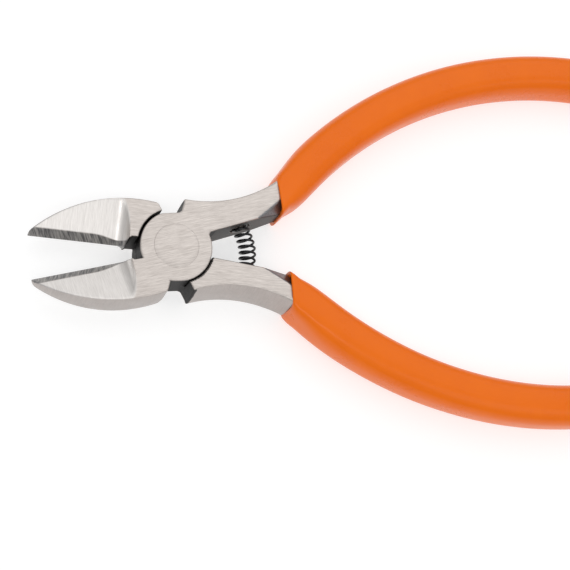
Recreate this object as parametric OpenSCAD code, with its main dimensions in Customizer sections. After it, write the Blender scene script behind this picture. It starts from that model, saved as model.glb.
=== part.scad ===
// Diagonal cutting pliers with a lap joint: two forged steel halves that cross at a flush rivet,
// a coil spring that pushes the handles apart, and two plastic grips.
// Lengths are in mm and angles in degrees. The tool lies flat, front face up (+Z), with the jaws
// towards -X and the handles towards +X. The origin is on the rivet's axis, at the back face.

/* [Head] */
// Thickness of the forged steel
steel_t = 9; // [8.6:0.1:9.6]
// Angle between the two halves as modelled
open_deg = 17.7; // [6:0.1:24]
// Radius of the round boss at the joint
boss_r = 7.42; // [7.2:0.02:7.44]
// Gap between the two lapped faces
lap_gap = 0.1; // [0.06:0.02:0.2]
// Radius of the jaw shoulder that clears the other half's boss
jaw_shoulder_r = 8.1; // [7.9:0.05:8.4]
// Radius of the handle shoulder that clears the other half's boss
tang_shoulder_r = 7.64; // [7.62:0.02:7.8]

/* [Jaws] */
// Distance from the pivot to the tip
jaw_l = 29.2; // [26:0.2:30]
// Radius of the curved outer side
jaw_side_r = 30; // [29:0.5:32]
// Height of the ground side face above the middle plane, taken back to the cutting line
face_h = 1.1; // [0.9:0.05:1.4]
// Slope of the ground side faces
face_deg = 20.5; // [18:0.5:22]
// Distance from the pivot to where the ground face starts to run out
face_end = 12.2; // [11.6:0.1:13]
// Radius of the run-out behind the ground face
face_runout_r = 2.5; // [1.5:0.1:3]
// Slope of the cutting bevel, from the middle plane
bevel_deg = 50; // [45:1:55]
// Distance from the pivot to the back end of the cutting bevel
bevel_end = 11.4; // [11:0.1:12]
// Distance from the middle line to each cutting edge when closed
edge_gap = 0.04; // [0.02:0.01:0.1]

/* [Joint] */
// Radius of the rivet's shank
rivet_r = 3; // [2.6:0.1:3.2]
// Extra radius of the rivet's countersunk ends
rivet_flare = 1.6; // [1:0.1:1.8]
// Depth of the countersunk ends
rivet_flare_h = 1.2; // [0.8:0.1:1.6]
// Running clearance around the rivet in the back half
rivet_clear = 0.05; // [0.02:0.01:0.08]

/* [Spring] */
// Distance from the pivot to the spring, along the handle
seat_x = 15.4; // [15:0.2:16.4]
// Radius of the blind holes that hold the spring
seat_r = 2.2; // [2.15:0.05:2.3]
// Depth of the blind holes
seat_depth = 2.6; // [2:0.1:3]
// Outside diameter of the spring
spring_d = 3.7; // [3.4:0.1:3.7]
// Diameter of the spring's wire
wire_d = 0.5; // [0.4:0.05:0.6]
// Turns of the spring
spring_turns = 12; // [9:0.5:13]
// How far the middle of the spring bows out towards the handles
spring_bow = 0.8; // [0:0.1:1]

/* [Handles] */
// Width of the grips
grip_w = 9; // [8.6:0.1:9.6]
// Thickness of the grips
grip_t = 10.2; // [9.8:0.1:11]
// Corner radius of the grips
grip_corner_r = 3.4; // [2.4:0.1:3.8]
// Width of the steel inside the grips
core_w = 5.6; // [5.2:0.1:6]
// Thickness of the steel inside the grips
core_t = 7.2; // [6.6:0.1:7.6]
// Radius of the handles' bow
bow_r = 86.5; // [84:0.5:90]
// Angle past the widest point where the handles end
bow_end_deg = 21.5; // [20:0.5:24]
// Distance from the pivot to the grips' mouths
grip_mouth = 25; // [24.4:0.1:25.4]

/* [Hidden] */
$fn = 96;

mid_z = steel_t / 2;
half_open = open_deg / 2;
// longer than any cut through the tool
reach = 60;
// how far the jaw cuts reach past the middle line
side_over = 1;

// jaw outline, seen from the front with the jaws closed and the jaw below the middle line
jaw_side_x = -8.2;
jaw_side_y = jaw_side_r - 9.28;
heel_x = -9.75;
throat_x = -9.1;
throat_y = -1;
jaw_root = [-6, -1.1];
jaw_corner = [-3.06, -6.89];
jaw_corner_low = [-4.15, -8.8];

// handle outline, seen the same way with the handle above the middle line
tang_root = [4.5, 1.25];
tang_inner = [7, 1.45];
tang_inner_deg = 4.84;
tang_end_x = 28.2;
tang_end_top = [25.6, 10.4];
tang_shoulder = [2.83, 6.69];
tang_shoulder_top = [3.9, 8.5];
tang_shoulder_out = [4.5, 10.2];
tang_waist = [14, 6.9];
tang_waist_r = 21.5;
// chamfers on the handle's inner edges, from where they start to the grip
chamfer_at = [17.7, 2.2];
chamfer_deg = 27;
chamfer_tilt = 42;
chamfer_l = 10;
chamfer_lead = 4;

// the handle under the grip follows one bow, measured from its widest point
bow_top = [78.84, 25.1];
bow_centre = bow_top - [0, bow_r];
bow_start_deg = 41.5;
core_start_deg = 39;
core_end_deg = 19;
// flat steps around each rounded corner of a grip
corner_steps = 5;

// spring seat, on the handle's inner edge
seat_y = tang_inner[1] + (seat_x - tang_inner[0]) * tan(tang_inner_deg);
seat_floor = [seat_x, seat_y] + seat_depth * [-sin(tang_inner_deg), cos(tang_inner_deg)];
seat_deg = tang_inner_deg + half_open;
spring_end_gap = 0.15;
spring_top = [
    seat_floor[0] * cos(half_open) - seat_floor[1] * sin(half_open),
    seat_floor[0] * sin(half_open) + seat_floor[1] * cos(half_open)
];
spring_bend_r = spring_top[1] / sin(seat_deg);
spring_bend_x = spring_top[0] - spring_bend_r * cos(seat_deg);
spring_l = 2 * (spring_bend_r * seat_deg * PI / 180 - spring_end_gap) - wire_d;
spring_mean_r = (spring_d - wire_d) / 2;
wire_sides = 10;
wire_steps = 20;

module jaw_2d() {
    intersection() {
        polygon([
            [-jaw_l, -edge_gap], [heel_x, -edge_gap], [throat_x, throat_y], jaw_root,
            jaw_corner, jaw_corner_low, [jaw_corner_low[0], -jaw_side_r], [-jaw_l, -jaw_side_r]
        ]);
        translate([jaw_side_x, jaw_side_y]) circle(r = jaw_side_r, $fn = 360);
    }
}

module tang_2d() {
    tang_end_y = tang_inner[1] + (tang_end_x - tang_inner[0]) * tan(tang_inner_deg);
    difference() {
        polygon([
            tang_root, tang_inner, [tang_end_x, tang_end_y], tang_end_top,
            tang_shoulder_out, tang_shoulder_top, tang_shoulder
        ]);
        translate([tang_waist[0], tang_waist[1] + tang_waist_r]) circle(r = tang_waist_r, $fn = 360);
    }
}

// the steel under the grip
module handle_core() {
    translate([bow_centre[0], bow_centre[1], mid_z]) rotate([0, 0, 90 - core_end_deg])
        rotate_extrude(angle = core_start_deg + core_end_deg, $fn = 360)
            translate([bow_r - core_w / 2, -core_t / 2]) square([core_w, core_t]);
}

// material taken off the jaw above a plane that tilts up from the cutting line
module ground_off(rise, tilt) {
    translate([0, 0, mid_z]) rotate([-tilt, 0, 0]) translate([0, side_over, rise]) rotate([90, 0, 0])
        linear_extrude(reach) children();
}

// the broad side face, with the wheel's run-out behind it
module face_profile() {
    translate([-reach, 0]) square([reach - face_end, reach]);
    translate([-face_end, face_runout_r]) circle(r = face_runout_r);
}

// the cutting bevel
module bevel_profile() {
    translate([-reach, 0]) square([reach - bevel_end, reach]);
}

// the chamfer on one inner edge of the handle
module tang_chamfer() {
    translate([chamfer_at[0], chamfer_at[1], steel_t]) rotate([0, 0, chamfer_deg]) rotate([chamfer_tilt, 0, 0])
        translate([-chamfer_lead, -reach, 0]) cube([chamfer_lead + chamfer_l, 2 * reach, reach]);
}

// the same cut on the front and back faces
module on_both_faces() {
    children();
    translate([0, 0, steel_t]) mirror([0, 0, 1]) children();
}

// one forging, jaws closed: boss in the front layer, jaw below the middle line, handle above it
module forged_half(bore_r) {
    difference() {
        union() {
            translate([0, 0, mid_z + lap_gap / 2]) linear_extrude(mid_z - lap_gap / 2) {
                circle(r = boss_r, $fn = 180);
                jaw_2d();
                tang_2d();
            }
            difference() {
                linear_extrude(steel_t) jaw_2d();
                translate([0, 0, -1]) cylinder(r = jaw_shoulder_r, h = mid_z + 1 + lap_gap / 2, $fn = 180);
            }
            difference() {
                linear_extrude(steel_t) tang_2d();
                translate([0, 0, -1]) cylinder(r = tang_shoulder_r, h = mid_z + 1 + lap_gap / 2, $fn = 180);
            }
            handle_core();
        }
        on_both_faces() {
            ground_off(face_h, face_deg) face_profile();
            ground_off(0, bevel_deg) bevel_profile();
            tang_chamfer();
        }
        translate([seat_x, seat_y, mid_z]) rotate([0, 0, tang_inner_deg]) rotate([-90, 0, 0])
            translate([0, 0, -1]) cylinder(r = seat_r, h = seat_depth + 1);
        cylinder(r = bore_r, h = steel_t + 1);
        translate([0, 0, steel_t - rivet_flare_h])
            cylinder(r1 = bore_r, r2 = bore_r + rivet_flare, h = rivet_flare_h);
    }
}

module grip_section() {
    polygon([
        for (corner = [0 : 3], step = [0 : corner_steps])
            let (turn = 90 * (corner + step / corner_steps),
                 right = corner == 0 || corner == 3 ? 1 : -1,
                 up = corner < 2 ? 1 : -1)
            [
                right * (grip_w / 2 - grip_corner_r) + grip_corner_r * cos(turn),
                up * (grip_t / 2 - grip_corner_r) + grip_corner_r * sin(turn)
            ]
    ]);
}

// the plastic sleeve over one handle, in the same pose as forged_half
module grip_sleeve() {
    difference() {
        translate([bow_centre[0], bow_centre[1], mid_z]) rotate([0, 0, 90 - bow_end_deg]) {
            rotate_extrude(angle = bow_start_deg + bow_end_deg, $fn = 360)
                translate([bow_r, 0]) grip_section();
            translate([bow_r, 0, 0]) rotate([0, 0, 180]) rotate_extrude(angle = 180) intersection() {
                grip_section();
                translate([0, -grip_t]) square([grip_w, 2 * grip_t]);
            }
        }
        translate([grip_mouth - reach, -reach / 2, -reach / 2]) cube(reach);
        handle_core();
        linear_extrude(steel_t) tang_2d();
    }
}

// the front half keeps the pose above; the back half is the same piece turned over
module as_front() {
    rotate([0, 0, half_open]) children();
}

module as_back() {
    rotate([0, 0, -half_open]) translate([0, 0, steel_t]) rotate([180, 0, 0]) children();
}

module front_half() {
    color("lightsteelblue") as_front() forged_half(rivet_r);
}

module back_half() {
    color("silver") as_back() forged_half(rivet_r + rivet_clear);
}

module pivot_rivet() {
    color("gray") {
        cylinder(r = rivet_r, h = steel_t);
        cylinder(r1 = rivet_r + rivet_flare, r2 = rivet_r, h = rivet_flare_h);
        translate([0, 0, steel_t - rivet_flare_h])
            cylinder(r1 = rivet_r, r2 = rivet_r + rivet_flare, h = rivet_flare_h);
    }
}

// distance along the spring after some turns, with a closed coil at each end
function along(turn) =
    turn < 1 ? wire_d * turn
    : turn > spring_turns - 1 ? spring_l - wire_d * (spring_turns - turn)
    : wire_d + (spring_l - 2 * wire_d) * (turn - 1) / (spring_turns - 2);

// a point of the wire's surface
function wire_point(turn, side) =
    let (bend = (along(turn) - spring_l / 2) / spring_bend_r * 180 / PI,
         bow = spring_bow * pow(sin(180 * along(turn) / spring_l), 2),
         out_r = spring_mean_r + wire_d / 2 * cos(360 * side / wire_sides),
         slip = wire_d / 2 * sin(360 * side / wire_sides),
         from_centre = spring_bend_r + bow + out_r * cos(360 * turn))
    [
        spring_bend_x + from_centre * cos(bend) - slip * sin(bend),
        from_centre * sin(bend) + slip * cos(bend),
        mid_z + out_r * sin(360 * turn)
    ];

module return_spring() {
    rings = round(spring_turns * wire_steps);
    points = [for (i = [0 : rings], j = [0 : wire_sides - 1]) wire_point(i / wire_steps, j)];
    walls = [
        for (i = [0 : rings - 1], j = [0 : wire_sides - 1], half = [0, 1])
            let (next = (j + 1) % wire_sides, a = i * wire_sides, b = a + wire_sides)
            half == 0 ? [a + j, a + next, b + next] : [a + j, b + next, b + j]
    ];
    first_cap = [for (j = [wire_sides - 1 : -1 : 0]) j];
    last_cap = [for (j = [0 : wire_sides - 1]) rings * wire_sides + j];
    color("dimgray") polyhedron(points = points, faces = concat(walls, [first_cap, last_cap]));
}

module upper_grip() {
    color("orange") as_front() grip_sleeve();
}

module lower_grip() {
    color("darkorange") as_back() grip_sleeve();
}

front_half();
back_half();
pivot_rivet();
return_spring();
upper_grip();
lower_grip();
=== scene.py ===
# Diagonal cutting pliers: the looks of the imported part.
# Each forged half is one mesh taken from a signed distance field, so that its edges are truly rounded.
# The grips, the spring and the rivet are swept or turned meshes. Lengths are in mm until a mesh is made.
# A half is shaped in its own frame, with the jaws closed: its jaw lies below the middle line and its
# handle above it. There w is the height above the middle plane, positive in the layer of its boss.
import math

import bpy
import numpy as np
import openvdb
from mathutils import Matrix, Vector


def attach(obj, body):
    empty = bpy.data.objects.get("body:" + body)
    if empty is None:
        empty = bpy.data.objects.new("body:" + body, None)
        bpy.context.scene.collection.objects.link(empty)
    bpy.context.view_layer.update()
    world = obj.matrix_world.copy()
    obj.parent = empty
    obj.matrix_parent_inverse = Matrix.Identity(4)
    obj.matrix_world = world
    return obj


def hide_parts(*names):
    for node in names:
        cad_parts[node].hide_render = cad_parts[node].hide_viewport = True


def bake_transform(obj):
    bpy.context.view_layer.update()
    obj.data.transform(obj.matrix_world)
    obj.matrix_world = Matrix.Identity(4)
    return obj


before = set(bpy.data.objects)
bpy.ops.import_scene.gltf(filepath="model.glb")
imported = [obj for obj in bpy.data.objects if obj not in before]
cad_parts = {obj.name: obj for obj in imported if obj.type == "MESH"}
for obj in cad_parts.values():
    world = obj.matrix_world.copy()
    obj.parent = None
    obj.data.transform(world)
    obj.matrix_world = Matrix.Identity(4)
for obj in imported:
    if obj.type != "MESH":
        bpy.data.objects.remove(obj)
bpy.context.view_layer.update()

MM = 0.001

# ---------------------------------------------------------------- sizes that the CAD part has too
STEEL_T = 9.0
MID = STEEL_T / 2
HALF_OPEN = math.radians(17.7 / 2)
LAP = 0.05
BOSS_R = 7.42
TANG_SHOULDER_R = 7.64

JAW_L = 29.2
JAW_SIDE_R = 30.0
JAW_SIDE_AT = (-8.2, 20.72)
JAW_BELOW = -14.0  # past the rounded side
EDGE_GAP = 0.04
JAW = [
    (-JAW_L, -EDGE_GAP), (-9.75, -EDGE_GAP), (-9.1, -1.0), (-6.0, -1.1),
    (-3.06, -6.89), (-4.15, -8.8), (-4.15, JAW_BELOW), (-JAW_L, JAW_BELOW),
]
FACE_RISE = 1.1
FACE_TILT = math.radians(20.5)
FACE_END = -12.2
FACE_RUNOUT_R = 2.5
BEVEL_TILT = 50.0
SIDE_OVER = 1.0

TANG_INNER = (7.0, 1.45)
TANG_INNER_TILT = math.radians(4.84)
CHAMFER_AT = (17.7, 2.2)
CHAMFER_TURN = math.radians(27)
CHAMFER_TILT = math.radians(42)
CHAMFER_L = 10.0
CHAMFER_LEAD = 4.0

RIVET_R = 3.0
RIVET_FLARE = 1.6
RIVET_FLARE_H = 1.2
RIVET_CLEAR = 0.05

SEAT_X = 15.4
SEAT_Y = TANG_INNER[1] + (SEAT_X - TANG_INNER[0]) * math.tan(TANG_INNER_TILT)
SEAT_R = 2.2
SEAT_DEPTH = 2.6
SPRING_D = 3.7
WIRE_D = 0.5
SPRING_TURNS = 12
SPRING_BOW = 0.8
SPRING_END_GAP = 0.15

BOW_R = 86.5
BOW_AT = (78.84, 25.1 - BOW_R)
BOW_END = math.radians(90 - 21.5)
CORE_END = math.radians(90 - 19)
CORE_W = 5.6
CORE_T = 7.2

# ---------------------------------------------------------------- shapes finer than the CAD part's
JAW_SHOULDER_R = 7.85
JAW_CROWN = 0.3
# the boss's flats: the direction each one faces, and its distance from the pivot
BOSS_FLATS = ((0.146, 0.989, 7.03), (-0.1715, -0.985, 7.30))
BEVEL_STEEPER = 30.0
BEVEL_TURNS_AT = -16.5
BEVEL_TURN_L = 6.5
BEVEL_END = -9.0
# the handle's outline stops just inside the grip, where the core takes over
TANG_MOUTH_X = 24.4
TANG_MOUTH_Y = TANG_INNER[1] + (TANG_MOUTH_X - TANG_INNER[0]) * math.tan(TANG_INNER_TILT)
TANG = [
    (4.5, 1.25), TANG_INNER, (TANG_MOUTH_X, TANG_MOUTH_Y), (26.0, 4.5), (29.0, 7.0), (29.0, 12.4),
    (25.6, 10.4), (4.5, 10.2), (3.9, 8.5), (2.83, 6.69),
]
WAIST_X = 14.0
WAIST_Y = 6.8
WAIST_R = 27.0
WAIST_DRAFT = 0.7
WAIST_CROWN = 0.3
CORE_START = math.radians(90 + 36)
GRIP_MOUTH = 24.1
# a hair thinner than the CAD part's grips, to stay inside its box
GRIP_W = 8.98
GRIP_T = 10.18

# radii of the rounded edges and fillets
FLAT_EDGE_R = 0.3
JAW_EDGE_R = 0.4
TANG_EDGE_R = 0.3
ROOT_FILLET_R = 0.7
RIM_R = 0.32
RIM_R_MORE = 0.3  # added towards the grip
RIM_R_MORE_FROM = 20
RIM_R_MORE_OVER = 4
GROUND_EDGE_R = 0.25
CORE_EDGE_R = 0.6
SEAT_EDGE_R = 0.12
RIVET_EDGE = 0.035


# ---------------------------------------------------------------- distance fields
def step(t):
    """A smooth step from 0 to 1."""
    t = np.clip(t, 0, 1)
    return t * t * (3 - 2 * t)


def round_and(a, b, r):
    """Where both shapes are, with its edge rounded to radius r."""
    return np.minimum(-r, np.maximum(a, b)) + np.hypot(np.maximum(a + r, 0), np.maximum(b + r, 0))


def round_or(a, b, r):
    """Both shapes together, with a fillet of radius r between them."""
    return np.maximum(r, np.minimum(a, b)) - np.hypot(np.maximum(r - a, 0), np.maximum(r - b, 0))


def polygon(x, y, points):
    """Signed distance to a polygon, below zero inside."""
    nearest = None
    inside = None
    for (ax, ay), (bx, by) in zip(points, points[1:] + points[:1]):
        ex, ey = bx - ax, by - ay
        px, py = x - ax, y - ay
        t = np.clip((px * ex + py * ey) / (ex * ex + ey * ey), 0, 1)
        d = (px - ex * t) ** 2 + (py - ey * t) ** 2
        crosses = ((ay > y) != (by > y)) & (px < ex * py / (ey if ey else 1e-9))
        nearest = d if nearest is None else np.minimum(nearest, d)
        inside = crosses if inside is None else inside ^ crosses
    return np.where(inside, -1, 1) * np.sqrt(nearest)


def face_cut(x, y, w):
    """Material ground off the broad side faces, with the wheel's run-out behind them."""
    above = np.abs(w) * math.cos(FACE_TILT) + y * math.sin(FACE_TILT) - FACE_RISE
    wheel = np.hypot(x - FACE_END, above - FACE_RUNOUT_R) - FACE_RUNOUT_R
    return np.maximum(np.minimum(np.maximum(-above, x - FACE_END), wheel), y - SIDE_OVER)


def bevel_cut(x, y, w):
    """Material ground off along the cutting edge. The bevel stands steeper towards the heel."""
    turn = np.clip((x - BEVEL_TURNS_AT) / BEVEL_TURN_L, 0, 1)
    tilt = np.radians(BEVEL_TILT + BEVEL_STEEPER * turn**2)
    above = np.abs(w) * np.cos(tilt) + y * np.sin(tilt)
    return np.maximum(np.maximum(-above, x - BEVEL_END), y - SIDE_OVER)


def tang_edge(x, y, w):
    """The handle's outer side: drafted, slightly crowned, and waisted."""
    up = (w + MID) / STEEL_T
    waist = WAIST_Y + WAIST_DRAFT * up + WAIST_CROWN * (1 - (w / MID) ** 2)
    return WAIST_R - np.hypot(x - WAIST_X, y - waist - WAIST_R)


def chamfer_cut(x, y, w):
    """The long chamfers on the inner edges of the handle."""
    dx, dy, dw = x - CHAMFER_AT[0], y - CHAMFER_AT[1], np.abs(w) - MID
    c, s = math.cos(CHAMFER_TURN), math.sin(CHAMFER_TURN)
    above = (s * dx - c * dy) * math.sin(CHAMFER_TILT) + dw * math.cos(CHAMFER_TILT)
    along = c * dx + s * dy
    return np.maximum(-above, np.maximum(along - CHAMFER_L, -along - CHAMFER_LEAD))


def core(x, y, w):
    """The steel inside the grip, along the handle's bow."""
    px, py = x - BOW_AT[0], y - BOW_AT[1]
    off = np.abs(np.hypot(px, py) - BOW_R) - CORE_W / 2
    rod = round_and(off, np.abs(w) - CORE_T / 2, CORE_EDGE_R)
    past_end = px * math.sin(CORE_END) - py * math.cos(CORE_END)
    before = py * math.cos(CORE_START) - px * math.sin(CORE_START)
    return np.maximum(rod, np.maximum(past_end, before))


def seat_cut(x, y, w):
    """The blind hole that holds the end of the spring."""
    s, c = math.sin(TANG_INNER_TILT), math.cos(TANG_INNER_TILT)
    along = (y - SEAT_Y) * c - (x - SEAT_X) * s
    across = (x - SEAT_X) * c + (y - SEAT_Y) * s
    return np.maximum(np.hypot(across, w) - SEAT_R, np.maximum(along - SEAT_DEPTH, -1 - along))


def bore_cut(r, w, bore):
    """The rivet's hole, countersunk at the boss's face."""
    slope = RIVET_FLARE / RIVET_FLARE_H
    cone = (r - bore - (w - MID + RIVET_FLARE_H) * slope) / math.hypot(1, slope)
    return np.minimum(r - bore, cone)


def forging(x, y, w, bore):
    """Signed distance to one forged half: the boss in one layer, its jaw and its handle in both."""
    r = np.hypot(x, y)
    boss = r - BOSS_R
    for nx, ny, d in BOSS_FLATS:
        boss = round_and(boss, nx * x + ny * y - d, FLAT_EDGE_R)
    side = np.hypot(x - JAW_SIDE_AT[0], y - JAW_SIDE_AT[1]) - JAW_SIDE_R + JAW_CROWN * (w / MID) ** 2
    jaw = round_and(polygon(x, y, JAW), side, JAW_EDGE_R)
    tang = round_and(polygon(x, y, TANG), tang_edge(x, y, w), TANG_EDGE_R)
    rim_r = RIM_R + RIM_R_MORE * step((x - RIM_R_MORE_FROM) / RIM_R_MORE_OVER)
    plan = np.minimum(round_or(boss, tang, ROOT_FILLET_R), jaw)
    boss_layer = np.maximum(round_and(plan, w - MID, rim_r), LAP - w)
    past_joint = np.minimum(np.maximum(jaw, JAW_SHOULDER_R - r), np.maximum(tang, TANG_SHOULDER_R - r))
    both_layers = round_and(past_joint, np.abs(w) - MID, rim_r)
    solid = np.minimum(boss_layer, both_layers)
    solid = round_and(solid, -face_cut(x, y, w), GROUND_EDGE_R)
    solid = np.maximum(solid, -bevel_cut(x, y, w))
    solid = round_and(solid, -chamfer_cut(x, y, w), GROUND_EDGE_R)
    solid = np.minimum(solid, core(x, y, w))
    solid = round_and(solid, -seat_cut(x, y, w), SEAT_EDGE_R)
    return round_and(solid, -bore_cut(r, w, bore), RIVET_EDGE)


# ---------------------------------------------------------------- meshes
SETTLE_STEPS = 6  # moves of the vertices onto the surface
EVEN_STEPS = 3  # how many of them also even out the spacing
SLOPE_SPAN = 0.02
NORMAL_SPAN = 0.11  # wide enough to shade an edge softly
LONGEST_MOVE = 0.15


def spaced(*runs):
    """Grid lines at changing spacing: (from, to, spacing) runs that follow each other."""
    lines = [np.arange(a, b, gap) for a, b, gap in runs]
    return np.concatenate(lines + [[runs[-1][1]]])


def surface(field, xs, ys, ws):
    """Vertices and quads of a field's zero surface, moved onto it, with the field's own normals."""
    values = field(xs[:, None, None], ys[None, :, None], ws[None, None, :])
    grid = openvdb.FloatGrid(background=1.0)
    grid.copyFromArray(np.ascontiguousarray(values, dtype=np.float32))
    spots, quads = grid.convertToQuads(isovalue=0.0)
    p = np.stack([
        np.interp(spots[:, i], np.arange(len(lines)), lines) for i, lines in enumerate((xs, ys, ws))
    ], axis=1)
    pairs = np.stack([quads, np.roll(quads, -1, axis=1)], axis=-1).reshape(-1, 2)
    count = np.bincount(pairs.ravel(), minlength=len(p))[:, None]

    def slope(p, span=SLOPE_SPAN):
        out = np.empty_like(p)
        for i in range(3):
            d = np.zeros(3)
            d[i] = span
            ahead, behind = p + d, p - d
            out[:, i] = (field(*ahead.T) - field(*behind.T)) / (2 * span)
        return out

    def unit(g):
        return g / np.maximum(np.linalg.norm(g, axis=1), 1e-9)[:, None]

    def neighbours(p):
        """The mean of each vertex's neighbours."""
        a, b = pairs.T
        sums = [np.bincount(a, p[b, i], len(p)) + np.bincount(b, p[a, i], len(p)) for i in range(3)]
        return np.stack(sums, axis=1) / count

    for turn in range(SETTLE_STEPS):
        g = slope(p)
        if turn < EVEN_STEPS:
            pull = neighbours(p) - p
            n = unit(g)
            p = p + 0.5 * (pull - (pull * n).sum(1)[:, None] * n)
            g = slope(p)
        move = -field(*p.T)[:, None] * g / np.maximum((g * g).sum(1), 0.05)[:, None]
        p = p + move / np.maximum(np.linalg.norm(move, axis=1) / LONGEST_MOVE, 1)[:, None]
    normals = unit(slope(p, NORMAL_SPAN))
    a, b, c = (p[quads[:, i]] for i in range(3))
    if (np.cross(b - a, c - a) * normals[quads[:, 0]]).sum() < 0:
        quads = quads[:, ::-1]
    return p, quads, normals


def new_mesh(name, points, faces, normals=None):
    """An object whose points are given in mm in the frame's axes."""
    mesh = bpy.data.meshes.new(name)
    mesh.from_pydata((points * MM).tolist(), [], [list(map(int, f)) for f in faces])
    mesh.validate()
    mesh.polygons.foreach_set("use_smooth", np.ones(len(mesh.polygons), bool))
    if normals is not None:
        mesh.normals_split_custom_set_from_vertices(normals.tolist())
    mesh.update()
    piece = bpy.data.objects.new(name, mesh)
    bpy.context.scene.collection.objects.link(piece)
    return piece


def add_values(piece, name, values):
    """Gives every vertex a number, or a place, that the materials read by its name."""
    kind = "FLOAT_VECTOR" if values.ndim == 2 else "FLOAT"
    field = "vector" if values.ndim == 2 else "value"
    attribute = piece.data.attributes.new(name, kind, "POINT")
    attribute.data.foreach_set(field, values.astype(np.float32).ravel())


def posed(p, front):
    """From a half's own frame to the open pose: the back half is the same forging turned over."""
    flip = 1 if front else -1
    turn = HALF_OPEN * flip
    x, y, w = p[:, 0], p[:, 1] * flip, p[:, 2] * flip
    c, s = math.cos(turn), math.sin(turn)
    return np.stack([c * x - s * y, s * x + c * y, w], axis=1)


def in_place(p, front):
    return posed(p, front) + np.array([0, 0, MID])


# ---------------------------------------------------------------- the forged halves
# grid spacing: fine around the joint and at the rims, coarse under the grip
JOINT_GAP = 0.12
HEAD_GAP = 0.2
XS = spaced((-29.7, -5.2, HEAD_GAP), (-5.2, 5.2, JOINT_GAP), (5.2, 30, HEAD_GAP), (30, 111, 1.2))
YS = spaced((-9.9, -5.2, HEAD_GAP), (-5.2, 5.2, JOINT_GAP), (5.2, 11, HEAD_GAP), (11, 29, 0.5))
WS = spaced((-4.8, -4.0, 0.13), (-4.0, 4.0, 0.22), (4.0, 4.8, 0.13))

# how near a ground surface its finish starts, and how softly
FACE_NEAR = 0.3
BEVEL_NEAR = 0.35
CHAMFER_NEAR = 0.1
NEAR_SOFT = 0.25
JAW_ABOVE = 0.5  # no part of the jaw is higher than this
# a surface is a side wall where its normal leans away from the face
WALL_LEAN = 0.72
WALL_LEAN_SOFT = 0.35
# where the dark forging scale is left, and where it also stands for painted shade in the recesses: in the
# joint, on the shoulders and on the inner edges
LAP_NEAR = 0.2
SHOULDER_NEAR = 0.1
JOINT_WALL_R = 9.2
JOINT_WALL_X = -8.5
NOTCH_X = (1.5, 4.7)
NOTCH_Y = 6
HEEL_X = (-9.7, -6)
HEEL_Y = -1.6
INNER_X = (6.5, 30)
INNER_DARK = 0.85
FACING = 0.5  # how far a normal leans to a side before it counts as facing it
RIM_BARE = 0.05  # bright strip that the wheel leaves along each rim
RIM_SOFT = 0.45
# the chamfers, darkened as painted shade, and the thin dark line along the jaw's rim
CHAMFER_X = (16, 30)
RIM_LINE = 0.2
RIM_LINE_END = FACE_END + 2


def between(values, limits):
    return (values > limits[0]) & (values < limits[1])


def add_finishes(piece, p, normals):
    """Where each of the steel's finishes, and its painted shade, lies, from 0 to 1."""
    x, y, w = p.T
    r = np.hypot(x, y)
    on_face, on_bevel = np.abs(face_cut(x, y, w)), np.abs(bevel_cut(x, y, w))
    jaw_only = (x < FACE_END + FACE_RUNOUT_R) & (y < JAW_ABOVE)
    near_bevel = step((BEVEL_NEAR - on_bevel) / NEAR_SOFT)
    bevel = step(0.5 + (on_face - on_bevel) / NEAR_SOFT) * near_bevel * jaw_only
    ground = step((FACE_NEAR - on_face) / NEAR_SOFT) * (1 - bevel) * jaw_only
    wall = step((WALL_LEAN - np.abs(normals[:, 2])) / WALL_LEAN_SOFT) * (1 - ground) * (1 - bevel)

    lap = (w < LAP + LAP_NEAR) & (r < JAW_SHOULDER_R + SHOULDER_NEAR) & (normals[:, 2] < -FACING)
    joint_wall = (r < JOINT_WALL_R) & (x > JOINT_WALL_X)
    notch = between(x, NOTCH_X) & (y > NOTCH_Y)
    heel = between(x, HEEL_X) & (y > HEEL_Y)
    inner = between(x, INNER_X) & (normals[:, 1] < -FACING)
    dark = np.where(joint_wall | notch | heel, 1.0, np.where(inner, INNER_DARK, 0.0))
    below_rim = step((MID - np.abs(w) - RIM_BARE) / RIM_SOFT)

    chamfer = (np.abs(chamfer_cut(x, y, w)) < CHAMFER_NEAR) & between(x, CHAMFER_X)
    side = np.hypot(x - JAW_SIDE_AT[0], y - JAW_SIDE_AT[1]) - JAW_SIDE_R
    rim = np.exp(-(face_cut(x, y, w) ** 2 + side**2) / RIM_LINE**2)

    add_values(piece, "ground", ground)
    add_values(piece, "bevel", bevel)
    add_values(piece, "wall", wall)
    # dark forging scale together with painted shade, in the joint's gaps, the notch, the throat, the lap's
    # mating faces and the inner edges
    add_values(piece, "scale_and_shade", np.maximum(dark * below_rim * wall, lap))
    # painted shade on the chamfers, and the thin dark line along the jaw's rim
    add_values(piece, "chamfer", np.maximum(chamfer, np.where(x < RIM_LINE_END, rim, 0)))


def forged_half(name, front):
    bore = RIVET_R if front else RIVET_R + RIVET_CLEAR
    p, quads, normals = surface(lambda x, y, w: forging(x, y, w, bore), XS, YS, WS)
    piece = new_mesh(name, in_place(p, front), quads, posed(normals, front))
    add_values(piece, "forge", p)
    add_finishes(piece, p, normals)
    return piece


# ---------------------------------------------------------------- swept and turned pieces
def ring_faces(rings, sides):
    """Faces of a closed surface over rings of vertices, with a cap at each end."""
    faces = []
    for i in range(rings - 1):
        for j in range(sides):
            k = (j + 1) % sides
            faces.append((i * sides + j, i * sides + k, (i + 1) * sides + k, (i + 1) * sides + j))
    faces.append(tuple(range(sides))[::-1])
    faces.append(tuple((rings - 1) * sides + j for j in range(sides)))
    return faces


def facing_out(points, faces):
    """Turns the faces over if the closed mesh is inside out."""
    volume = 0.0
    for f in faces:
        a = points[f[0]]
        for b, c in zip(f[1:], f[2:]):
            volume += np.dot(a, np.cross(points[b], points[c]))
    return faces if volume > 0 else [f[::-1] for f in faces]


def full_turn(sides):
    return np.linspace(0, 2 * math.pi, sides, endpoint=False)


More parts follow.
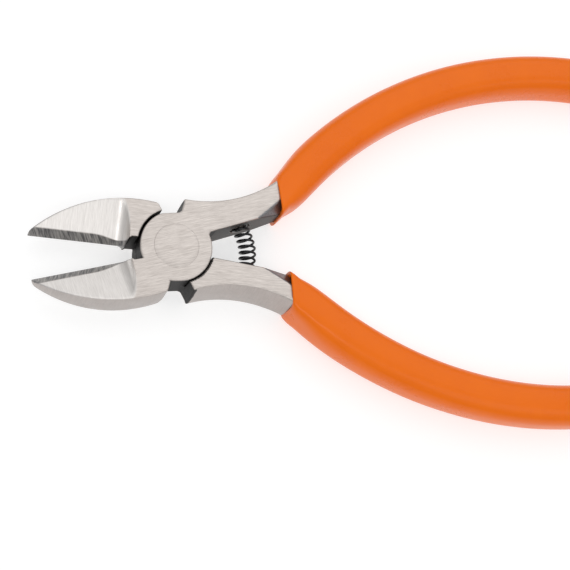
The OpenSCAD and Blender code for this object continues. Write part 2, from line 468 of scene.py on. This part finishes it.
GRIP_SIDES = 72
GRIP_POWER = 2.9  # of the section's superellipse
MOUTH_POWER = 5.0
MOUTH_POWER_L = 5.0
MOUTH_TILT = math.radians(-6.7)
MOUTH_TAPER_OUT = 0.95
MOUTH_TAPER_IN = 2.1
TAPER_L = 6.0
WALL = 0.6
SLEEVE_DEPTH = 3.5
LIP_R = 0.36
LIP_BEAD = 0.14
LIP_BEAD_L = 2.9
LIP_BEAD_LEAD = 0.3
LIP_THIN = 0.75  # share of an inset that also counts in the thickness
BODY_RINGS = 120
# degrees round the end, closer together towards its tip
END_STEPS = (8, 16, 24, 32, 40, 48, 56, 64, 71, 77, 82, 86, 88.5)


def grip_profile(length):
    """From inside the mouth, round the lip and along the body: distance and inset from the outer surface.
    """
    inside = [(d, WALL) for d in (SLEEVE_DEPTH, 2.4, 1.4, 0.7)]
    lip = [(LIP_R * (1 - math.cos(t)), LIP_R * (1 - math.sin(t))) for t in np.radians(range(-80, 81, 20))]
    bead = [
        (LIP_R + d, -LIP_BEAD * math.sin(math.pi * (d + LIP_BEAD_LEAD) / LIP_BEAD_L))
        for d in (0.1, 0.3, 0.6, 1.0, 1.4, 1.8, 2.2)
    ]
    body = [(d, 0.0) for d in np.linspace(3.2, length, BODY_RINGS)]
    return inside + lip + bead + body


def grip(name, front):
    """A moulded sleeve: hollow tapered mouth, rounded lip, swept body and half-round end."""
    turn = full_turn(GRIP_SIDES)
    ca, sa = np.cos(turn), np.sin(turn)
    half_w, half_t = GRIP_W / 2, GRIP_T / 2
    mouth_angle = math.acos((GRIP_MOUTH - BOW_AT[0]) / BOW_R)
    mouth_y = BOW_AT[1] + BOW_R * math.sin(mouth_angle)
    length = BOW_R * (mouth_angle - BOW_END)

    def ring(along, a, b, power=GRIP_POWER):
        """A section with half widths a and b. Each line of the sweep starts in the mouth's plane."""
        across = np.sign(ca) * np.abs(ca) ** (2 / power)
        thick = np.sign(sa) * np.abs(sa) ** (2 / power)
        line_r = BOW_R + a * across
        start = np.full(GRIP_SIDES, mouth_angle)
        for _ in range(4):
            y = BOW_AT[1] + line_r * np.sin(start)
            x = GRIP_MOUTH - (y - mouth_y) * math.tan(MOUTH_TILT)
            start = np.arccos(np.clip((x - BOW_AT[0]) / line_r, -1, 1))
        angle = start + (BOW_END - start) * np.clip(along / length, 0, None)
        x, y = BOW_AT[0] + line_r * np.cos(angle), BOW_AT[1] + line_r * np.sin(angle)
        return np.stack([x, y, b * thick], axis=1)

    rings = []
    for along, inset in grip_profile(length):
        taper = math.exp(-((along / TAPER_L) ** 2))
        a_out = half_w - inset - MOUTH_TAPER_OUT * taper
        a_in = half_w - inset - MOUTH_TAPER_IN * taper
        b = half_t - max(inset, 0) * LIP_THIN
        power = GRIP_POWER + (MOUTH_POWER - GRIP_POWER) * math.exp(-((along / MOUTH_POWER_L) ** 2))
        rings.append(ring(along, np.where(ca > 0, a_out, a_in), b, power))
    end_way = np.array([math.sin(BOW_END), -math.cos(BOW_END), 0])
    for past in half_w * np.sin(np.radians(END_STEPS)):
        a = math.sqrt(half_w**2 - past**2)
        b = half_t * (1 - (past / half_w) ** GRIP_POWER) ** (1 / GRIP_POWER)
        rings.append(ring(length, np.full(GRIP_SIDES, a), b) + end_way * past)
    p = np.concatenate(rings)
    faces = facing_out(p, ring_faces(len(rings), GRIP_SIDES))
    piece = new_mesh(name, in_place(p, front), faces)
    add_values(piece, "forge", p)
    return piece


SPRING_STEPS = 36
WIRE_SIDES = 14


def spring(name):
    """The coil, bent between the two seats, and the places where it meets their floors."""
    s, c = math.sin(HALF_OPEN), math.cos(HALF_OPEN)
    floor_x = SEAT_X - SEAT_DEPTH * math.sin(TANG_INNER_TILT)
    floor_y = SEAT_Y + SEAT_DEPTH * math.cos(TANG_INNER_TILT)
    top_x, top_y = floor_x * c - floor_y * s, floor_x * s + floor_y * c
    tilt = TANG_INNER_TILT + HALF_OPEN
    bend_r = top_y / math.sin(tilt)
    bend_x = top_x - bend_r * math.cos(tilt)
    length = 2 * (bend_r * tilt - SPRING_END_GAP) - WIRE_D
    mean_r = (SPRING_D - WIRE_D) / 2
    round_wire = full_turn(WIRE_SIDES)
    out = mean_r + WIRE_D / 2 * np.cos(round_wire)
    slip = WIRE_D / 2 * np.sin(round_wire)
    rings = []
    for i in range(SPRING_TURNS * SPRING_STEPS + 1):
        n = i / SPRING_STEPS
        # the first and the last turn are closed
        if n < 1:
            along = WIRE_D * n
        elif n > SPRING_TURNS - 1:
            along = length - WIRE_D * (SPRING_TURNS - n)
        else:
            along = WIRE_D + (length - 2 * WIRE_D) * (n - 1) / (SPRING_TURNS - 2)
        bend = (along - length / 2) / bend_r
        bow = SPRING_BOW * math.sin(math.pi * along / length) ** 2
        far = bend_r + bow + out * math.cos(2 * math.pi * n)
        rings.append(np.stack([
            bend_x + far * math.cos(bend) - slip * math.sin(bend),
            far * math.sin(bend) + slip * math.cos(bend),
            MID + out * math.sin(2 * math.pi * n),
        ], axis=1))
    p = np.concatenate(rings)
    piece = new_mesh(name, p, facing_out(p, ring_faces(len(rings), WIRE_SIDES)))
    seats = [Vector((top_x, sign * top_y, MID)) * MM for sign in (1, -1)]
    return piece, seats


RIVET_SIDES = 128


def rivet(name):
    """Flush rivet, countersunk at both faces, with its rim just broken."""
    rim = RIVET_R + RIVET_FLARE
    e = RIVET_EDGE
    # (radius, height) from the middle of one face to the middle of the shank
    outline = [
        (1.2, MID), (2.6, MID), (rim - 1.2, MID), (rim - 3 * e, MID - 0.002), (rim - 1.6 * e, MID - 0.02),
        (rim - e, MID - e), (rim - 1.6 * e, MID - 1.6 * e), (RIVET_R, MID - RIVET_FLARE_H),
        (RIVET_R, 1.5), (RIVET_R, 0),
    ]
    outline += [(r, -h) for r, h in outline[-2::-1]]
    turn = full_turn(RIVET_SIDES)
    rings = [
        np.stack([r * np.cos(turn), r * np.sin(turn), np.full(RIVET_SIDES, h)], axis=1) for r, h in outline
    ]
    p = np.concatenate(rings)
    piece = new_mesh(name, p + np.array([0, 0, MID]), facing_out(p, ring_faces(len(rings), RIVET_SIDES)))
    # brushed together with the front half
    c, s = math.cos(-HALF_OPEN), math.sin(-HALF_OPEN)
    x, y, w = p.T
    add_values(piece, "forge", np.stack([c * x - s * y, s * x + c * y, w], axis=1))
    return piece


# ---------------------------------------------------------------- materials
class Nodes:
    """Short names for the shader nodes that the materials share."""

    def __init__(self, name):
        self.material = bpy.data.materials.new(name)
        self.material.use_nodes = True
        self.tree = self.material.node_tree
        self.shader = self.tree.nodes["Principled BSDF"]

    def add(self, kind, **values):
        node = self.tree.nodes.new(kind)
        for key, value in values.items():
            setattr(node, key, value)
        return node

    def link(self, out, into):
        self.tree.links.new(out, into)

    def fill(self, sockets, values):
        """Links each socket to an output, or sets it to a number or a colour."""
        for socket, value in zip(sockets, values):
            if isinstance(value, (int, float)):
                socket.default_value = value
            elif isinstance(value, tuple):
                socket.default_value = (*value, 1)
            else:
                self.link(value, socket)

    def value(self, name):
        return self.add("ShaderNodeAttribute", attribute_name=name).outputs["Fac"]

    def inside(self):
        return self.add("ShaderNodeTexCoord").outputs["Object"]

    def place(self, scale, turn=0.0):
        """The half's own frame, turned and then scaled, in mm."""
        spot = self.add("ShaderNodeAttribute", attribute_name="forge").outputs["Vector"]
        turned = self.add("ShaderNodeMapping")
        turned.inputs["Rotation"].default_value = (0, 0, turn)
        scaled = self.add("ShaderNodeMapping")
        scaled.inputs["Scale"].default_value = scale
        self.link(spot, turned.inputs["Vector"])
        self.link(turned.outputs["Vector"], scaled.inputs["Vector"])
        return scaled.outputs["Vector"]

    def noise(self, vector, scale=1.0, detail=3.0, rough=0.55):
        node = self.add("ShaderNodeTexNoise")
        node.inputs["Scale"].default_value = scale
        node.inputs["Detail"].default_value = detail
        node.inputs["Roughness"].default_value = rough
        self.link(vector, node.inputs["Vector"])
        return node.outputs["Fac"]

    def ramp(self, value, lo, hi, a=0.0, b=1.0):
        node = self.add("ShaderNodeMapRange", clamp=True)
        keys = ("Value", "From Min", "From Max", "To Min", "To Max")
        self.fill([node.inputs[key] for key in keys], (value, lo, hi, a, b))
        return node.outputs["Result"]

    def math(self, kind, a, b):
        node = self.add("ShaderNodeMath", operation=kind)
        self.fill(node.inputs, (a, b))
        return node.outputs["Value"]

    def mix(self, factor, a, b, kind="RGBA"):
        node = self.add("ShaderNodeMix", data_type=kind)
        self.fill([node.inputs[key] for key in ("Factor", "A", "B")], (factor, a, b))
        return node.outputs["Result"]

    def blend(self, factor, a, b):
        return self.mix(factor, a, b, "FLOAT")

    def bump(self, height, strength, distance):
        node = self.add("ShaderNodeBump")
        node.inputs["Strength"].default_value = strength
        node.inputs["Distance"].default_value = distance
        self.link(height, node.inputs["Height"])
        self.link(node.outputs["Normal"], self.shader.inputs["Normal"])

    def set(self, **values):
        """Sets the shader's own sockets, with _ for a space in their names."""
        for key, value in values.items():
            self.fill([self.shader.inputs[key.replace("_", " ")]], [value])


# the darkest and the brightest colour of each finish
FLAT_STEEL = (0.42, 0.378, 0.35), (0.74, 0.685, 0.645)
GROUND_STEEL = (0.62, 0.59, 0.565), (0.84, 0.81, 0.785)
BEVEL_STEEL = (0.13, 0.13, 0.135), (0.48, 0.46, 0.44)
SIDE_STEEL = (0.36, 0.325, 0.305), (0.52, 0.475, 0.45)
# the chamfers' colours, darkened as painted shade
CHAMFER_SHADE_STEEL = (0.20, 0.20, 0.21), (0.33, 0.33, 0.34)
# the forging scale's colours, which also paint the shade in the joint's recesses, the throat and the inner
# edges
SCALE_AND_SHADE_STEEL = (0.012, 0.012, 0.013), (0.045, 0.042, 0.04)
ORANGE = (0.84, 0.150, 0.0), (0.88, 0.165, 0.0)
OILED_BLACK = (0.010, 0.010, 0.011), (0.05, 0.05, 0.055)
BEVEL_SLANT = math.radians(35)
FINE_SHARE = 0.45  # share of the fine scratches in the brushing


def steel(name):
    """Ground and brushed forged steel: along the handle on the flats, across the blade on the jaw faces,
    slanted on the cutting bevels, and dark scale where no wheel reached, which also stands for painted
    shade in the joint's gaps, the notch, the throat and along the inner edges."""
    n = Nodes(name)
    along = n.noise(n.place((0.28, 5.5, 5.5)), detail=4.0, rough=0.65)
    along_fine = n.noise(n.place((0.7, 15.0, 15.0)), detail=2.0)
    across = n.noise(n.place((4.5, 0.22, 0.22)), detail=4.0, rough=0.65)
    across_fine = n.noise(n.place((12.0, 0.6, 0.6)), detail=2.0)
    slanted = n.noise(n.place((3.2, 0.3, 0.3), BEVEL_SLANT), rough=0.6)
    blotch = n.noise(n.place((0.35, 0.35, 0.35)))
    grain = n.noise(n.place((4.0, 4.0, 4.0)))
    ground, bevel, scale_and_shade, wall, chamfer = (
        n.value(key) for key in ("ground", "bevel", "scale_and_shade", "wall", "chamfer")
    )
    on_side = n.math("MULTIPLY", wall, n.math("SUBTRACT", 1.0, ground))

    flat_mark = n.blend(FINE_SHARE, along, along_fine)
    face_mark = n.blend(FINE_SHARE, across, across_fine)
    side_mark = n.blend(0.5, across, grain)
    mark = n.blend(ground, flat_mark, face_mark)
    mark = n.blend(bevel, mark, slanted)
    mark = n.blend(on_side, mark, side_mark)

    colour = n.mix(
        ground,
        n.mix(n.ramp(flat_mark, 0.32, 0.68), *FLAT_STEEL),
        n.mix(n.ramp(face_mark, 0.32, 0.68), *GROUND_STEEL),
    )
    colour = n.mix(on_side, colour, n.mix(n.ramp(side_mark, 0.30, 0.70), *SIDE_STEEL))
    colour = n.mix(bevel, colour, n.mix(n.ramp(slanted, 0.35, 0.65), *BEVEL_STEEL))
    # painted shade on the chamfers, and the thin dark line along the jaw's rim
    colour = n.mix(chamfer, colour, n.mix(n.ramp(grain, 0.3, 0.7), *CHAMFER_SHADE_STEEL))
    # dark forging scale, and painted shade in the joint's recesses, the throat and along the inner edges
    colour = n.mix(scale_and_shade, colour, n.mix(n.ramp(grain, 0.3, 0.7), *SCALE_AND_SHADE_STEEL))

    rough = n.ramp(mark, 0.25, 0.75, 0.30, 0.46)
    rough = n.math("ADD", rough, n.ramp(blotch, 0.3, 0.7, -0.04, 0.05))
    n.set(Base_Color=colour, Roughness=n.blend(scale_and_shade, rough, 0.55), Metallic=0.92)
    n.bump(mark, 0.3, 0.00002)
    return n.material


def plastic(name):
    """Glossy moulded plastic with a faint orange peel and handling marks."""
    n = Nodes(name)
    peel = n.noise(n.place((1.6, 1.6, 1.6)), detail=2.0)
    smear = n.noise(n.place((0.12, 0.12, 0.12)), detail=4.0, rough=0.6)
    speck = n.noise(n.place((6.0, 6.0, 6.0)), detail=2.0)
    rough = n.math("ADD", n.ramp(smear, 0.3, 0.7, 0.24, 0.36), n.ramp(speck, 0.55, 0.75, 0.0, 0.06))
    n.set(Base_Color=n.mix(n.ramp(smear, 0.3, 0.7), *ORANGE), Roughness=rough)
    n.set(Specular_IOR_Level=0.16, Coat_Weight=0.16, Coat_Roughness=0.16)
    n.bump(peel, 0.25, 0.00003)
    return n.material


def black_wire(name):
    """Oiled black spring wire, slightly worn on its outside."""
    n = Nodes(name)
    drawn = n.noise(n.inside(), 1400.0)
    colour = n.mix(n.ramp(drawn, 0.4, 0.75), *OILED_BLACK)
    n.set(Base_Color=colour, Roughness=n.ramp(drawn, 0.3, 0.7, 0.22, 0.38), Metallic=0.55)
    n.bump(drawn, 0.2, 0.00002)
    return n.material


def pale_matt(name, tone, glow):
    """The floor's paper. It also gives off light, so that it stays pale around the tool."""
    n = Nodes(name)
    darker = tone * 0.985
    n.set(Base_Color=n.mix(n.noise(n.inside(), 30.0), (darker,) * 3, (tone,) * 3), Roughness=0.9)
    n.set(Emission_Color=(1, 1, 1), Emission_Strength=glow)
    return n.material


# ---------------------------------------------------------------- pieces
steel_look = steel("brushed_steel")
grip_look = plastic("orange_plastic")

front_half = forged_half("front_half_forging", True)
back_half = forged_half("back_half_forging", False)
upper_grip = grip("upper_grip_sleeve", True)
lower_grip = grip("lower_grip_sleeve", False)
pivot_rivet = rivet("pivot_rivet_turned")
return_spring, seats = spring("return_spring_coil")

for piece, look, body, node, slot in (
    (front_half, steel_look, "front", "front_half", "steel_front"),
    (back_half, steel_look, "back", "back_half", "steel_back"),
    (upper_grip, grip_look, "front", "upper_grip", "grip_upper"),
    (lower_grip, grip_look, "back", "lower_grip", "grip_lower"),
    (pivot_rivet, steel_look, "front", "pivot_rivet", "rivet"),
):
    piece.data.materials.append(look)
    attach(piece, body)
    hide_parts(node)

return_spring.data.materials.append(black_wire("black_wire"))
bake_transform(return_spring)
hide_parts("return_spring")

# ---------------------------------------------------------------- floor and light
FLOOR_SIZE = 3.0
FLOOR_Z = (MID - GRIP_T / 2) * MM
corners = [(x * FLOOR_SIZE, y * FLOOR_SIZE, FLOOR_Z) for x, y in ((-1, -1), (1, -1), (1, 1), (-1, 1))]
mesh = bpy.data.meshes.new("floor")
mesh.from_pydata(corners, [], [(0, 1, 2, 3)])
floor = bpy.data.objects.new("floor", mesh)
bpy.context.scene.collection.objects.link(floor)
floor.data.materials.append(pale_matt("pale_floor", 0.46, glow=0.62))

CEILING_LIGHT = 0.78
WALL_LIGHT = 0.36
CEILING_FROM = 0.65  # the height, as a share of straight up, where the ceiling starts


def studio():
    """A white world, dimmer at its walls than at its ceiling."""
    world = bpy.data.worlds.new("studio")
    bpy.context.scene.world = world
    world.use_nodes = True
    nodes, links = world.node_tree.nodes, world.node_tree.links
    direction = nodes.new("ShaderNodeTexCoord")
    height = nodes.new("ShaderNodeSeparateXYZ")
    light = nodes.new("ShaderNodeMapRange")
    light.inputs["From Max"].default_value = CEILING_FROM
    light.inputs["To Min"].default_value = WALL_LIGHT
    light.inputs["To Max"].default_value = CEILING_LIGHT
    links.new(direction.outputs["Generated"], height.inputs["Vector"])
    links.new(height.outputs["Z"], light.inputs["Value"])
    links.new(light.outputs["Result"], nodes["Background"].inputs["Strength"])
    nodes["Background"].inputs["Color"].default_value = (1, 1, 1, 1)


LIT = Vector((0.03, 0.0, 0.0))


def softbox(name, at, size, watts):
    """A soft rectangular lamp that points at the tool. Places and sizes are in metres."""
    lamp = bpy.data.lights.new(name, "AREA")
    lamp.shape = "RECTANGLE"
    lamp.size, lamp.size_y = size
    lamp.energy = watts
    holder = bpy.data.objects.new(name, lamp)
    bpy.context.scene.collection.objects.link(holder)
    holder.location = at
    holder.rotation_euler = (LIT - Vector(at)).to_track_quat("-Z", "Y").to_euler()


studio()
softbox("key", (0.20, 0.38, 0.58), (0.7, 0.7), 0.8)
softbox("front", (0.25, -0.33, 0.60), (0.5, 0.3), 0.34)
softbox("strip", (-0.20, -0.22, 0.60), (0.3, 0.05), 0.4)

# ---------------------------------------------------------------- camera
# It looks down on the front face, from below and from the jaws' side.
VIEW_LEAN = math.radians(14.4)
VIEW_SIDE = math.radians(18.0)
VIEW_ROLL = math.radians(2.59)
VIEW_DISTANCE = 300.0
VIEW_SPAN = 114.0  # width that the picture covers at the joint
# where it aims, to the right of the joint and above it, as it sees them
AIM_RIGHT = 21.654
AIM_UP = -7.866
FILM_WIDTH = 36.0


def add_camera():
    back = Vector((-math.sin(VIEW_SIDE), -math.sin(VIEW_LEAN), 0))
    back.z = math.sqrt(1 - back.length_squared)
    level = Vector((0, 1, 0)).cross(back).normalized()
    upright = back.cross(level)
    turn = VIEW_ROLL - math.atan2(upright.x, level.x)
    right = math.cos(turn) * level - math.sin(turn) * upright
    up = math.sin(turn) * level + math.cos(turn) * upright
    aim = Vector((0, 0, STEEL_T)) + right * AIM_RIGHT + up * AIM_UP
    place = Matrix((right, up, back)).transposed().to_4x4()
    place.translation = (aim + back * VIEW_DISTANCE) * MM
    camera = bpy.data.objects.new("camera", bpy.data.cameras.new("camera"))
    bpy.context.scene.collection.objects.link(camera)
    camera.matrix_world = place
    camera.data.sensor_width = FILM_WIDTH
    camera.data.lens = FILM_WIDTH * VIEW_DISTANCE / VIEW_SPAN
    camera.data.clip_start = 0.01
    bpy.context.scene.camera = camera


add_camera()
bpy.context.scene.view_settings.view_transform = "Standard"
